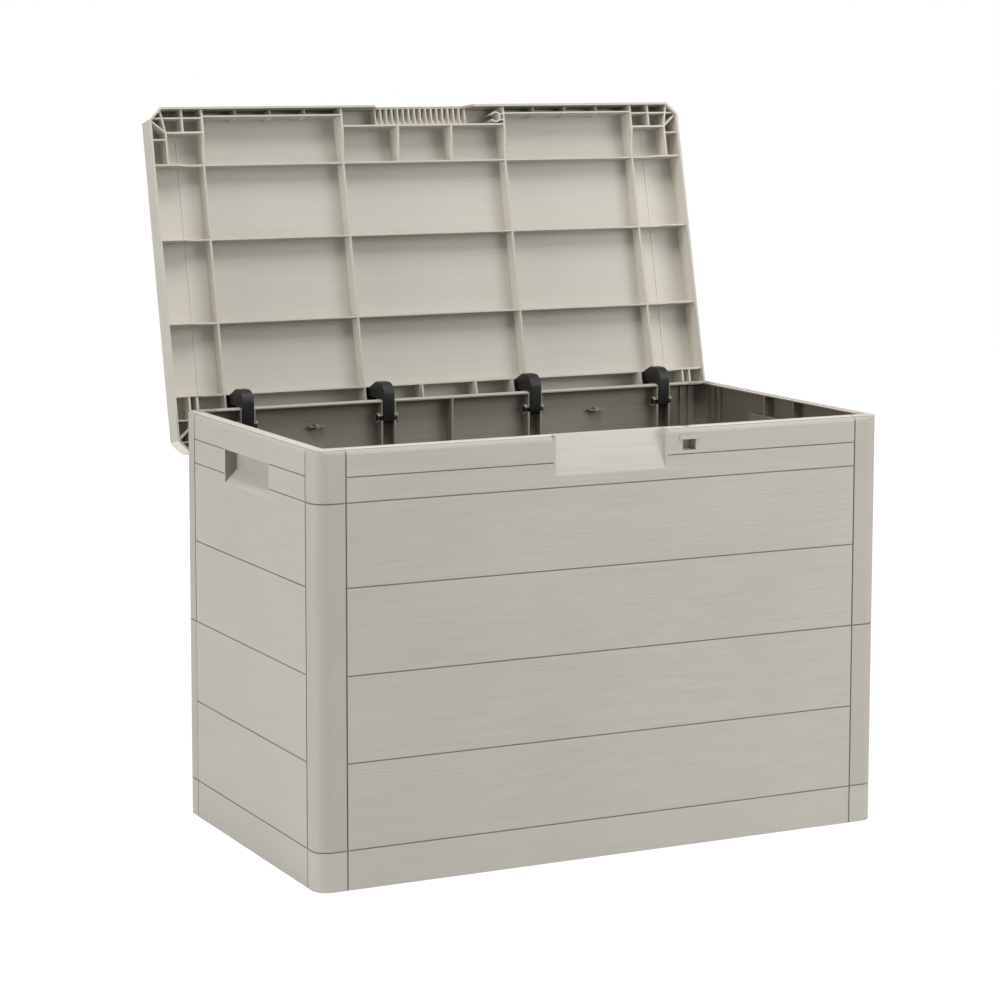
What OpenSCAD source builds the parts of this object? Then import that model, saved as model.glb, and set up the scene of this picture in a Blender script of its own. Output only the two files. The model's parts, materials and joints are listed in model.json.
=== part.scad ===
// Deck storage box: a base tray, walls and corner posts that slide together, four snap-in hinge
// arms and a ribbed lid.
// The origin is the centre of the base on the ground. +X is to the right, +Y to the back, +Z up.
// The lid stands open on its stop, which is the hinge's rest position.

/* [Body] */
// Width over the side walls
body_w = 769; // [640:1:960]
// Depth over the front and rear walls
body_d = 424; // [350:1:540]
// Height of the rim above the ground
body_h = 520; // [430:1:660]
// Radius of the upright corners
corner_r = 19; // [14:0.5:22]
// Thickness of the moulded walls
wall_t = 3; // [2.4:0.1:3.6]
// Width of a corner post on the front and rear
post_w = 38; // [36:1:50]
// Width of a front post on the side
post_line_front = 31; // [30:1:45]
// Width of a rear post on the side
post_line_rear = 36; // [30:1:45]

/* [Planks] */
// Height of the plinth
plinth_h = 47.5; // [36:0.5:60]
// Height of the plain band under the rim
rim_band_h = 33; // [30:0.5:40]
// Height of the narrow plank under the band
narrow_plank_h = 30; // [24:0.5:36]
// Height of the top wide plank
top_plank_h = 99.3; // [80:0.1:120]
// Width of the grooves between planks
groove_w = 1.5; // [1:0.1:2.5]
// Depth of the grooves between planks
groove_d = 1.2; // [0.6:0.1:1.6]

/* [Rim] */
// Width of the rim flange
rim_w = 18; // [16:0.5:22]
// Thickness of the rim flange
rim_t = 3; // [2.4:0.1:4]
// Radius of the outer rim edge
rim_r = 8; // [7.6:0.1:9]
// Width of the lowered inner edge of the rim
rim_step_w = 4; // [2:0.5:5]
// Depth of the lowered inner edge of the rim
rim_step_d = 1; // [0.5:0.1:1.5]

/* [Wall joints] */
// Overlap of neighbouring panels behind the post seams
lap_w = 9; // [7:0.5:9.5]
// Height of the tongue that stands up behind the panel above
lap_h = 10; // [6:0.5:16]
// Thickness of the overlap strips and tongues
lap_t = 2.5; // [2:0.1:3]
// Clearance between moulded parts that slide together
fit_gap = 0.2; // [0.1:0.05:0.4]
// Gap in the upright seams
seam_gap = 0.3; // [0.2:0.05:0.6]
// Thickness of the wall ribs
rib_t = 2.5; // [2:0.1:3]
// Depth of the plain wall ribs
rib_d = 8; // [6:0.5:12]
// Space between plain wall ribs
rib_pitch = 128; // [90:1:160]

/* [Base] */
// Height of the floor's underside above the ground
floor_lift = 12; // [8:1:20]
// Thickness of the floor
floor_t = 3; // [2.5:0.1:4]
// Space between the ribs under the floor
base_rib_pitch = 96; // [70:1:140]
// Radius of the middle rest pad
pad_r = 22; // [15:1:35]

/* [Hand recesses] */
// Width of each side recess
hand_w = 141; // [110:1:160]
// Height of each side recess at the outer face
hand_h = 41; // [34:1:48]
// Depth of each side recess
hand_d = 15.5; // [13:0.5:17]
// Rise of the recess floor from the outer face to its back
hand_rise = 16.5; // [8:0.5:20]

/* [Front scoop and lock eye] */
// Width of the scoop under the lid's grip
scoop_w = 150; // [120:1:170]
// Height of the scoop
scoop_h = 48.5; // [40:0.5:58]
// Depth of the scoop at the rim
scoop_d = 12; // [8:0.5:12]
// Distance of the lock eye to the right of the middle
lock_x = 108; // [102:1:110]
// Distance of the lock hole behind the front face
lock_in = 11; // [10.5:0.1:11.5]
// Radius of the lock hole
lock_r = 5.5; // [4:0.1:5.5]
// Height of the bar between the rim's top and the lock window
lock_bar_h = 14; // [10:0.5:18]
// Width of the lock window
lock_window_w = 18; // [14:0.5:20]
// Height of the lock window
lock_window_h = 14.5; // [10:0.5:16]
// Height that the bar's lip stands proud of the front
lock_lip = 1.5; // [1:0.1:2]

/* [Hinge] */
// Distance of the hinge axis from the rear face
pivot_in = 11; // [10.5:0.1:12]
// Depth of the hinge axis below the rim's top
pivot_drop = 24; // [23:0.5:30]
// Angle that the lid swings through, from closed to its stop
open_angle = 102.75; // [96:0.25:106]
// Radius of the arm's stub axles
axle_r = 4; // [3.5:0.1:4.2]
// Radial clearance of the stub axles
axle_gap = 0.08; // [0.05:0.01:0.1]
// Width of a hinge arm
arm_w = 15; // [12:0.5:16]
// Gap between an arm and the ribs on each side
arm_gap = 0.5; // [0.4:0.1:0.8]
// Height of the arm's head above the axis
arm_head_h = 46; // [44:0.5:50]
// Reach of the arm's limb in front of the axis
arm_front = 10; // [9:0.5:11]
// Gap between the arm and the rim at the stop
stop_gap = 0.4; // [0.3:0.1:1]
// Thickness of an arm's foot
foot_t = 3; // [2.5:0.1:4]
// Length of an arm's foot
foot_l = 22; // [16:0.5:26]

/* [Lid] */
// Height of the lid
lid_h = 33; // [30:0.5:40]
// Overlap of the lid's skirt below the rim's top
lid_drop = 3; // [2:0.5:4]
// Overhang of the lid at the front and sides
lid_over = 6; // [5:0.5:9]
// Overhang of the lid at the rear
lid_over_rear = 17; // [17:0.5:22]
// Thickness of the lid's skirt
skirt_t = 3; // [2.4:0.1:3.4]
// Thickness of the lid's plate
plate_t = 3.5; // [3:0.1:4.5]
// Cut of the lid's corners
lid_chamfer = 16; // [12:0.5:20]
// Radius of the lid's top edges
lid_edge_r = 5.5; // [3:0.5:5.5]
// Width of the side bands on the lid's top
lid_band_w = 45; // [30:1:50]
// Number of planks across the lid's top
lid_planks = 4; // [3:1:6]

/* [Lid ribs] */
// Thickness of the lid's ribs
lid_rib_t = 2.4; // [2:0.1:3]
// Height of the main ribs' edges above the skirt's edge
rib_recess = 10.6; // [8:0.1:12]
// Height of the ribs' edges above the rim, in the edge bands
band_gap = 0.3; // [0.3:0.1:1]
// Height of the ribs' edges above the rim, at the rear
band_gap_rear = 1; // [0.9:0.1:2]
// Width of the edge bands where the ribs reach the rim
band_w = 35; // [30:1:40]
// Distance of the inner long ribs from the middle
inner_rib_x = 120; // [119:0.5:122]
// Distance of the outer long ribs from the middle
outer_rib_x = 317; // [280:0.5:317]
// Distance of the first cross rib from the front edge
cross_first = 75; // [70:0.5:80]
// Distance from the first cross rib to the second
cross_second = 97.5; // [80:0.5:110]
// Distance from the third cross rib to the last
cross_third = 93; // [80:0.5:110]
// Distance of the last cross rib from the rear edge
cross_last = 73; // [72:0.5:75]
// Inner width of an arm's pocket, measured between rib centres
pocket_w = 25; // [23:0.5:26]
// Distance of the thin front rib from the front edge
thin_rib_b = 12; // [10:0.5:15]
// Space between the gussets on the thin front rib
gusset_pitch = 49; // [40:1:55]

/* [Grip] */
// Distance of the grip's backing rib from the front edge
grip_b = 27; // [25:0.5:30]
// Number of teeth in the grip
grip_teeth = 17; // [11:2:19]
// Space between teeth
grip_pitch = 8.3; // [7:0.1:8.5]
// Thickness of a tooth
tooth_t = 2; // [1.5:0.1:2.5]
// Depth of the notch in the skirt
notch_h = 15; // [10:0.5:17]

/* [Hidden] */
$fn = 48;
eps = 0.01;
over = 1; // how far a cutter runs past what it cuts

plastic = [0.74, 0.71, 0.67];
plinth_plastic = [0.72, 0.69, 0.64];
lid_plastic = [0.75, 0.73, 0.68];
arm_plastic = [0.13, 0.13, 0.13];

plank_h = (body_h - plinth_h - top_plank_h - narrow_plank_h - rim_band_h) / 3;
tier_z = plinth_h + 2 * plank_h; // where the upper walls stand on the lower ones
upper_groove_z = tier_z + plank_h;
band_z = body_h - rim_band_h;
narrow_z = band_z - narrow_plank_h;
seam_x = body_w / 2 - post_w; // seams between the posts and the front and rear walls
front_y = -body_d / 2;
rear_y = body_d / 2;
side_seam_f = front_y + post_line_front; // seams between the posts and the side walls
side_seam_r = rear_y - post_line_rear;
lap_in = wall_t + fit_gap; // depth of an overlap strip's outer face below the outer surface
lap_back = lap_in + lap_t;
lap_inset = 2; // how far a channel's lip stays back from the seam
end_gap = 1; // how far strips and ribs stop short of a tongue or the rim
rim_under = body_h - rim_t;

pivot_y = rear_y - pivot_in;
pivot_z = body_h - pivot_drop;
eye_r = pivot_in - wall_t - arm_gap;
hub_wall = 3;
hub_r = axle_r + hub_wall;
hub_l = 4;
snap_mouth = 1.55 * axle_r; // a hub's mouth, which is narrower than the axle that snaps through it
axle_end_gap = 0.3; // how far a stub axle stops short of its hub's outer face
axle_reach = arm_gap + rib_t + hub_l - axle_end_gap; // how far a stub axle stands out of the arm's side

lid_w = body_w + 2 * lid_over;
lid_d = body_d + lid_over + lid_over_rear;
lid_front_y = front_y - lid_over;
lid_rear_y = rear_y + lid_over_rear;
lid_z = body_h - lid_drop; // the skirt's lower edge, with the lid closed
lid_top = lid_z + lid_h;
plate_z = lid_top - plate_t; // the plate's underside, with the lid closed
cross_ribs = [
    cross_first, cross_first + cross_second,
    lid_d - cross_last - cross_third, lid_d - cross_last
];
arm_xs = [
    -(outer_rib_x - pocket_w / 2), -(inner_rib_x - pocket_w / 2),
    inner_rib_x - pocket_w / 2, outer_rib_x - pocket_w / 2
];
last_rib_y = lid_rear_y - cross_last + lid_rib_t / 2; // rear face of the last cross rib

// ---- outlines and blocks ----

// Plan of the box, drawn in by inset
module plan(inset = 0) {
    r = corner_r - inset;
    x = body_w / 2 - corner_r;
    y = body_d / 2 - corner_r;
    if (r > 0.5)
        union() {
            square([2 * x, body_d - 2 * inset], center = true);
            square([body_w - 2 * inset, 2 * y], center = true);
            for (sx = [-1, 1], sy = [-1, 1]) translate([sx * x, sy * y]) circle(r = r);
        }
    else
        square([body_w - 2 * inset, body_d - 2 * inset], center = true);
}

module block(z0, z1, inset = 0) {
    translate([0, 0, z0]) linear_extrude(z1 - z0) plan(inset);
}

// A band that runs round the box, t thick, its outer face inset from the box's
module ring(z0, z1, inset, t) {
    difference() {
        block(z0, z1, inset);
        block(z0 - over, z1 + over, inset + t);
    }
}

module span(x0, x1, y0, y1, z0, z1) {
    translate([x0, y0, z0]) cube([x1 - x0, y1 - y0, z1 - z0]);
}

// A rectangle on the ground line with its two upper corners rounded
module arch(w, h, r) {
    union() {
        translate([-w / 2, 0]) square([w, h - r]);
        translate([-w / 2 + r, 0]) square([w - 2 * r, h]);
        for (s = [-1, 1]) translate([s * (w / 2 - r), h - r]) circle(r = r);
    }
}

// The space inside the rounded outer edges of a rim or a lid
module rounded_top(w, d, h, r) {
    intersection() {
        rotate([90, 0, 0]) linear_extrude(2 * d, center = true) arch(w, h, r);
        rotate([90, 0, 90]) linear_extrude(2 * w, center = true) arch(d, h, r);
    }
}

// The part of the front (sy = -1) or rear wall between the posts
module cross_zone(sy) {
    edge = seam_x - seam_gap / 2;
    span(-edge, edge, sy < 0 ? -body_d : 0, sy < 0 ? 0 : body_d, -body_h, 2 * body_h);
}

// The part of the right wall between the posts
module side_zone() {
    span(0, body_w, side_seam_f + seam_gap / 2, side_seam_r - seam_gap / 2, -body_h, 2 * body_h);
}

// A right-hand corner, outside both of its seams
module corner_zone(sy) {
    y0 = sy < 0 ? -body_d : side_seam_r + seam_gap / 2;
    y1 = sy < 0 ? side_seam_f - seam_gap / 2 : body_d;
    span(seam_x + seam_gap / 2, body_w, y0, y1, -body_h, 2 * body_h);
}

// ---- grooves ----

module groove_round(z) {
    ring(z - groove_w / 2, z + groove_w / 2, -over, over + groove_d);
}

module seam_rebates(z0, z1) {
    rebate_w = groove_w + seam_gap;
    height = z1 - z0 + 2 * over;
    for (sx = [-1, 1], sy = [-1, 1])
        translate([sx * seam_x, sy * body_d / 2, (z0 + z1) / 2])
            cube([rebate_w, 2 * groove_d, height], center = true);
    for (sx = [-1, 1], y = [side_seam_f, side_seam_r])
        translate([sx * body_w / 2, y, (z0 + z1) / 2])
            cube([2 * groove_d, rebate_w, height], center = true);
}

module groove_across(z) {
    for (sy = [-1, 1])
        translate([0, sy * body_d / 2, z]) cube([2 * seam_x, 2 * groove_d, groove_w], center = true);
}

module groove_along(z) {
    for (sx = [-1, 1])
        span(sx * body_w / 2 - groove_d, sx * body_w / 2 + groove_d,
             side_seam_f, side_seam_r, z - groove_w / 2, z + groove_w / 2);
}

// ---- pieces that every wall shares ----

// Skin of the walls from z0 to z1, with rebated seams
module wall_ring(z0, z1) {
    difference() {
        ring(z0, z1, 0, wall_t);
        seam_rebates(z0, z1);
        groove_round(z0);
        groove_round(z1);
    }
}

// The walls from z0 up to the rim, with its flange and rounded edge
module rim_ring(z0) {
    difference() {
        intersection() {
            union() {
                wall_ring(z0, body_h + over);
                ring(rim_under, body_h, 0, rim_w);
            }
            rounded_top(body_w, body_d, body_h, rim_r);
        }
        ring(body_h - rim_step_d, body_h + over, rim_w - rim_step_w, rim_step_w + over);
    }
}

// The tongue that stands up behind the skin of what is above
module tongue(z) {
    ring(z - lap_h, z, wall_t - eps, fit_gap + lap_t + eps);
    ring(z - eps, z + lap_h, lap_in, lap_t);
}

// Strips on the ends of a front or rear panel, which slide down behind the posts
module cross_strips(sy, z0, z1) {
    for (sx = [-1, 1]) scale([sx, sy, 1]) {
        y0 = body_d / 2 - lap_back;
        span(seam_x - lap_w, seam_x - seam_gap / 2, y0, body_d / 2 - wall_t + eps, z0, z1);
        span(seam_x - lap_w, seam_x + lap_w, y0, body_d / 2 - lap_in, z0, z1);
    }
}

// The same strips on the front and rear ends of the right panel
module side_strips(z0, z1) {
    x0 = body_w / 2 - lap_back;
    for (s = [-1, 1]) {
        seam = s < 0 ? -side_seam_f : side_seam_r;
        scale([1, s, 1]) {
            span(x0, body_w / 2 - wall_t + eps, seam - lap_w, seam - seam_gap / 2, z0, z1);
            span(x0, body_w / 2 - lap_in, seam - lap_w, seam + lap_w, z0, z1);
        }
    }
}

// Upright ribs spread evenly about the middle of a wall that is w wide
module rib_row(w, depth, z0, z1) {
    n = floor(w / 2 / rib_pitch);
    for (i = [-n:n])
        span(i * rib_pitch - rib_t / 2, i * rib_pitch + rib_t / 2, -wall_t - depth, -wall_t + eps, z0, z1);
}

// ---- base ----

module base_tray() color(plinth_plastic) {
    rib_x = floor((body_w / 2 - corner_r) / base_rib_pitch);
    rib_y = floor((body_d / 2 - corner_r) / base_rib_pitch);
    difference() {
        union() {
            ring(0, plinth_h, 0, wall_t);
            tongue(plinth_h);
            block(floor_lift, floor_lift + floor_t, wall_t - eps);
            intersection() {
                block(0, floor_lift + eps, wall_t - eps);
                union() {
                    for (i = [-rib_x:rib_x])
                        translate([i * base_rib_pitch, 0, floor_lift / 2])
                            cube([rib_t, body_d, floor_lift + 2 * eps], center = true);
                    for (i = [-rib_y:rib_y])
                        translate([0, i * base_rib_pitch, floor_lift / 2])
                            cube([body_w, rib_t, floor_lift + 2 * eps], center = true);
                }
            }
            cylinder(r = pad_r, h = floor_lift + eps);
        }
        groove_round(plinth_h);
        seam_rebates(0, plinth_h);
    }
}

// ---- corner posts ----

// Channels inside a right-hand post, which hold the strips of the walls on either side of it
module post_channels(sy, z0, z1) {
    lip = lap_back + fit_gap;
    x = body_w / 2;
    y = body_d / 2;
    stop_x = seam_x + lap_w + fit_gap;
    side_seam = sy < 0 ? -side_seam_f : side_seam_r;
    stop_y = side_seam + lap_w + fit_gap;
    scale([1, sy, 1]) {
        span(stop_x, stop_x + rib_t, y - lip - rib_t, y - wall_t + eps, z0, z1);
        span(seam_x + lap_inset, stop_x + rib_t, y - lip - rib_t, y - lip, z0, z1);
        span(x - lip - rib_t, x - wall_t + eps, stop_y, stop_y + rib_t, z0, z1);
        span(x - lip - rib_t, x - lip, side_seam + lap_inset, stop_y + rib_t, z0, z1);
    }
}

// The bend of a post, clear of its channels, where the post's own tongue stands
module bend_zone(sy) {
    side_seam = sy < 0 ? -side_seam_f : side_seam_r;
    clear = lap_w + rib_t + 2 * fit_gap;
    scale([1, sy, 1]) span(seam_x + clear, body_w, side_seam + clear, body_d, 0, 2 * body_h);
}

// Where a post is divided: on one diagonal at the narrow plank, on the other at the tier
function post_split(sx, sy) = sx * sy > 0 ? narrow_z : tier_z;

module post_lower(sx, sy) color(plastic) scale([sx, 1, 1]) {
    split = post_split(sx, sy);
    intersection() {
        wall_ring(plinth_h, split);
        corner_zone(sy);
    }
    intersection() {
        tongue(split);
        bend_zone(sy);
    }
    post_channels(sy, plinth_h + lap_h + end_gap, split);
}

module post_upper(sx, sy) color(plastic) scale([sx, 1, 1]) {
    split = post_split(sx, sy);
    intersection() {
        rim_ring(split);
        corner_zone(sy);
    }
    post_channels(sy, split, rim_under + eps);
}

// ---- lower walls ----

low_rib_z0 = plinth_h + lap_h + end_gap;
low_rib_z1 = tier_z - lap_h;

module lower_walls() {
    difference() {
        wall_ring(plinth_h, tier_z);
        groove_across(plinth_h + plank_h);
        groove_along(plinth_h + plank_h);
    }
    tongue(tier_z);
}

module lower_cross_panel(sy) color(plastic) {
    intersection() {
        lower_walls();
        cross_zone(sy);
    }
    cross_strips(sy, low_rib_z0, low_rib_z1 - end_gap);
    scale([1, sy, 1]) translate([0, body_d / 2, 0])
        rib_row(2 * (seam_x - 2 * lap_w), rib_d, low_rib_z0, low_rib_z1 + eps);
}

module lower_side_panel(sx) color(plastic) scale([sx, 1, 1]) {
    intersection() {
        lower_walls();
        side_zone();
    }
    side_strips(low_rib_z0, low_rib_z1 - end_gap);
    translate([body_w / 2, 0, 0]) rotate(-90)
        rib_row(side_seam_r - side_seam_f - 4 * lap_w, rib_d, low_rib_z0, low_rib_z1 + eps);
}

// ---- upper walls ----

up_rib_z0 = tier_z + lap_h + end_gap;

module upper_walls() {
    difference() {
        rim_ring(tier_z);
        for (z = [upper_groove_z, narrow_z, band_z]) {
            groove_across(z);
            groove_along(z);
        }
    }
}

// Front face of the scoop, as a profile in the Y and Z directions, let in by t
module scoop_profile(t, extra) {
    foot = body_h - scoop_h - 1.5 * t; // lower than t alone, because the face slopes
    polygon([[-over, foot], [t, foot], [scoop_d + t, body_h + extra], [-over, body_h + extra]]);
}

module scoop(w, t, extra = 0) {
    translate([-w / 2, front_y, 0]) rotate([90, 0, 90]) linear_extrude(w) scoop_profile(t, extra);
}

lock_z = body_h - lock_bar_h; // underside of the bar, which is the window's top
lock_y = front_y + lock_in;
lock_wall = 4.5; // of the block, on each side of the window
lip_under = 1; // how far the bar's lip hangs below the bar
lip_rise = 4;

module upper_front_panel() color(plastic) {
    block_w = lock_window_w + 2 * lock_wall;
    difference() {
        union() {
            intersection() {
                upper_walls();
                cross_zone(-1);
            }
            cross_strips(-1, up_rib_z0, rim_under - end_gap);
            scale([1, -1, 1]) translate([0, body_d / 2, 0])
                rib_row(2 * (seam_x - 2 * lap_w), rib_d, up_rib_z0, rim_under + eps);
            // the scoop's own wall
            intersection() {
                scoop(scoop_w + 2 * wall_t, wall_t);
                span(-body_w, body_w, front_y, front_y + rim_w, 0, body_h);
            }
            // the lock eye's block and lip
            span(lock_x - block_w / 2, lock_x + block_w / 2, front_y + wall_t - eps, front_y + rim_w,
                 lock_z - lock_window_h - wall_t, rim_under + eps);
            span(lock_x - block_w / 2, lock_x + block_w / 2, front_y - lock_lip, front_y + eps,
                 lock_z - lip_under, lock_z + lip_rise);
        }
        scoop(scoop_w, 0, over);
        translate([lock_x, lock_y, lock_z - over]) cylinder(r = lock_r, h = lock_bar_h + 2 * over);
        span(lock_x - lock_window_w / 2, lock_x + lock_window_w / 2, front_y - over, front_y + rim_w - wall_t,
             lock_z - lock_window_h, lock_z);
    }
}

hub_x = arm_w / 2 + arm_gap; // inner face of a hinge rib, from the arm's middle

// Two ribs with snap hubs that hold one arm's stub axles
module hinge_ribs(x) {
    translate([x, 0, 0]) for (sx = [-1, 1]) scale([sx, 1, 1]) {
        span(hub_x, hub_x + rib_t, rear_y - rim_w, rear_y - wall_t + eps, up_rib_z0, rim_under + eps);
        translate([hub_x, pivot_y, pivot_z]) rotate([0, 90, 0]) cylinder(r = hub_r, h = rib_t + hub_l);
    }
}

// The cut for one arm: its slot through the rim, the axle holes and their snap mouths
module hinge_cut(x) {
    reach = hub_x + rib_t + hub_l + over;
    span(x - hub_x, x + hub_x, rear_y - rim_w - over, rear_y - wall_t, rim_under - over, body_h + over);
    translate([x - reach, pivot_y, pivot_z]) rotate([0, 90, 0])
        cylinder(r = axle_r + axle_gap, h = 2 * reach);
    span(x - reach, x + reach, pivot_y - hub_r - over, pivot_y,
         pivot_z - snap_mouth / 2, pivot_z + snap_mouth / 2);
}

ledge_xs = [-205, 205];
ledge_w = 22;
ledge_d = 7;
ledge_t = 2;
ledge_drop = 8; // from the hinge axis to the ledge's underside
tip_w = 6;
tip_h = 5;
tip_out = 2; // how far the ledge's tip stands out past the ledge

// A small ledge on the rear wall's inside, with a raised tip in its middle
module ledge(x) {
    face_y = rear_y - wall_t;
    z = pivot_z - ledge_drop;
    span(x - ledge_w / 2, x + ledge_w / 2, face_y - ledge_d, face_y + eps, z, z + ledge_t);
    span(x - tip_w / 2, x + tip_w / 2, face_y - ledge_d - tip_out, face_y + eps, z - 1, z - 1 + tip_h);
}

mid_rib_x = -15;

module upper_rear_panel() color(plastic) {
    difference() {
        union() {
            intersection() {
                upper_walls();
                cross_zone(1);
            }
            cross_strips(1, up_rib_z0, rim_under - end_gap);
            for (x = arm_xs) hinge_ribs(x);
            for (x = ledge_xs) ledge(x);
            span(mid_rib_x - rib_t / 2, mid_rib_x + rib_t / 2,
                 rear_y - rim_w, rear_y - wall_t + eps, up_rib_z0, rim_under + eps);
        }
        for (x = arm_xs) hinge_cut(x);
    }
}

hand_z1 = band_z;
hand_z0 = band_z - hand_h;
pocket_t = 2.5; // thickness of a recess's walls
shelf_gap = 40; // from a recess to the shelf behind it
shelf_l = 24;

// Space of a right-hand recess, grown by t and reaching out past the wall by extra
module hand_space(t, extra) {
    x1 = body_w / 2;
    rotate([90, 0, 0]) linear_extrude(hand_w + 2 * t, center = true) polygon([
        [x1 + extra, hand_z0 - t], [x1 - t, hand_z0 - t], [x1 - hand_d - t, hand_z0 + hand_rise - t],
        [x1 - hand_d - t, hand_z1 + t], [x1 + extra, hand_z1 + t]
    ]);
}

module upper_side_panel(sx) color(plastic) scale([sx, 1, 1]) {
    gusset_x = body_w / 2 - rim_w;
    face_x = body_w / 2 - wall_t;
    difference() {
        union() {
            intersection() {
                upper_walls();
                side_zone();
            }
            side_strips(up_rib_z0, rim_under - end_gap);
            translate([body_w / 2, 0, 0]) rotate(-90)
                rib_row(side_seam_r - side_seam_f - 4 * lap_w, rib_d, up_rib_z0, hand_z0 - pocket_t);
            intersection() {
                hand_space(pocket_t, 0);
                span(0, body_w / 2 - eps, -body_d, body_d, 0, body_h);
            }
            // gussets between the recess and the rim
            for (y = [-hand_w / 4, hand_w / 4])
                span(gusset_x, face_x + eps, y - rib_t / 2, y + rib_t / 2, hand_z1, rim_under + eps);
            // small shelf by the rear post
            span(gusset_x, face_x + eps, hand_w / 2 + shelf_gap, hand_w / 2 + shelf_gap + shelf_l,
                 narrow_z, narrow_z + rib_t);
        }
        hand_space(0, over);
    }
}

// ---- hinge arms ----

// A point given about the hinge axis on the closed lid, moved to the open lid
function opened(y, z) = [
    y * cos(open_angle) + z * sin(open_angle), z * cos(open_angle) - y * sin(open_angle)
];
function arc(y, z, r, a0, a1, n) = [
    for (i = [0:n]) [y + r * cos(a0 + (a1 - a0) * i / n), z + r * sin(a0 + (a1 - a0) * i / n)]
];

arm_bend_r = 16;
arm_inner_r = 2.5;
arm_neck_rise = 5; // from the top of the eye to where the limb has moved forward
arm_crown = 2; // flat top of the bend
arm_under = pivot_drop + stop_gap;
plate_rel = plate_z - pivot_z; // the plate's underside above the axis, with the lid closed
edge_rel = lid_z + rib_recess - pivot_z; // the main ribs' free edges above the axis
rib_rel = last_rib_y + fit_gap - pivot_y; // where the arm's end meets the last cross rib

// The arm's outline about the hinge axis: a goose neck from the axle, over the rim, to the lid's plate
arm_outline = concat(
    arc(0, 0, eye_r, 0, -180, 12),
    [[-arm_front, eye_r + arm_neck_rise]],
    arc(arm_bend_r - arm_front, arm_head_h - arm_bend_r, arm_bend_r, 180, 90, 8),
    [[arm_bend_r + arm_crown, arm_head_h], opened(rib_rel, edge_rel), opened(rib_rel, plate_rel)],
    [[(plate_rel - arm_under * cos(open_angle)) / sin(open_angle), arm_under]],
    arc(eye_r + arm_inner_r, arm_under - arm_inner_r, arm_inner_r, 90, 180, 6)
);

module as_opened() {
    translate([0, pivot_y, pivot_z]) rotate([-open_angle, 0, 0]) translate([0, -pivot_y, -pivot_z])
        children();
}

module hinge_arm(x) color(arm_plastic) {
    foot_w = pocket_w - lid_rib_t - 2 * fit_gap;
    translate([x, pivot_y, pivot_z]) {
        translate([-arm_w / 2, 0, 0]) rotate([90, 0, 90]) linear_extrude(arm_w) polygon(arm_outline);
        rotate([0, 90, 0]) cylinder(r = axle_r, h = arm_w + 2 * axle_reach, center = true);
    }
    as_opened()
        span(x - foot_w / 2, x + foot_w / 2, last_rib_y + fit_gap, last_rib_y + fit_gap + foot_l,
             plate_z - foot_t, plate_z);
}

// ---- lid, drawn closed ----

// Plan of the lid, drawn in by inset, with its corners cut at 45 degrees
module lid_plan(inset) {
    x = lid_w / 2 - inset;
    y0 = lid_front_y + inset;
    y1 = lid_rear_y - inset;
    c = lid_chamfer - inset * (2 - sqrt(2));
    polygon([
        [-x + c, y0], [x - c, y0], [x, y0 + c], [x, y1 - c],
        [x - c, y1], [-x + c, y1], [-x, y1 - c], [-x, y0 + c]
    ]);
}

module lid_block(z0, z1, inset) {
    translate([0, 0, z0]) linear_extrude(z1 - z0) lid_plan(inset);
}

band_z0 = body_h + band_gap;
rear_band_z0 = body_h + band_gap_rear;
main_z0 = lid_z + rib_recess;
ramp_l = 30; // run of the slope from the band's height to the main ribs'
ridge_h = 0.8;
gusset_reach = 3; // how far the gussets run on behind the thin front rib
tooth_rise = 1.5; // how far the teeth stand out past the notch's edge
floor_sink = 1.5; // depth of the grip's floor below the notch's edge, at the backing rib

// A rib along Y at x, from b0 to b1 behind the front edge, its lower edge at z
module long_rib(x, b0, b1, z, t = lid_rib_t) {
    span(x - t / 2, x + t / 2, lid_front_y + b0, lid_front_y + b1, z, plate_z + eps);
}

// A rib along X, b behind the front edge, from x0 to x1
module cross_rib(b, x0, x1, z, t = lid_rib_t) {
    span(x0, x1, lid_front_y + b - t / 2, lid_front_y + b + t / 2, z, plate_z + eps);
}

// The front end of a long rib, which slopes from the band's height to the main ribs' height
module long_ramp(x, b0) {
    translate([x - lid_rib_t / 2, lid_front_y, 0]) rotate([90, 0, 90]) linear_extrude(lid_rib_t)
        polygon([
            [b0, band_z0], [band_w, band_z0], [band_w + ramp_l, main_z0],
            [band_w + ramp_l, plate_z], [b0, plate_z]
        ]);
}

// The right-hand end of a cross rib, which slopes in the same way
module cross_ramp(b) {
    x = lid_w / 2;
    translate([0, lid_front_y + b + lid_rib_t / 2, 0]) rotate([90, 0, 0]) linear_extrude(lid_rib_t)
        polygon([
            [x, band_z0], [x - band_w, band_z0], [x - band_w - ramp_l / 2, main_z0],
            [x - band_w - ramp_l / 2, plate_z], [x, plate_z]
        ]);
}

module main_ribs() {
    half = lid_w / 2;
    for (s = [-1, 1], x = [inner_rib_x, outer_rib_x]) {
        long_rib(s * x, 0, lid_d, main_z0);
        long_ramp(s * x, 0);
        long_rib(s * x, lid_d - band_w, lid_d, rear_band_z0);
    }
    for (b = cross_ribs) {
        cross_rib(b, -half, half, main_z0);
        for (s = [-1, 1]) scale([s, 1, 1]) cross_ramp(b);
    }
}

// Low ridges on the plate's underside, behind the grooves beside the lid's side bands
module groove_backs() {
    x = lid_w / 2 - lid_band_w;
    for (s = [-1, 1])
        span(s * x - groove_w, s * x + groove_w, lid_front_y + fan_b, lid_rear_y - fan_b,
             plate_z - ridge_h, plate_z + eps);
}

short_x = scoop_w / 4 + 2; // short ribs behind the grip and at the rear
end_x = (outer_rib_x + lid_w / 2) / 2 + 4; // short ribs at the rear, outside the outer long ribs

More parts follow.
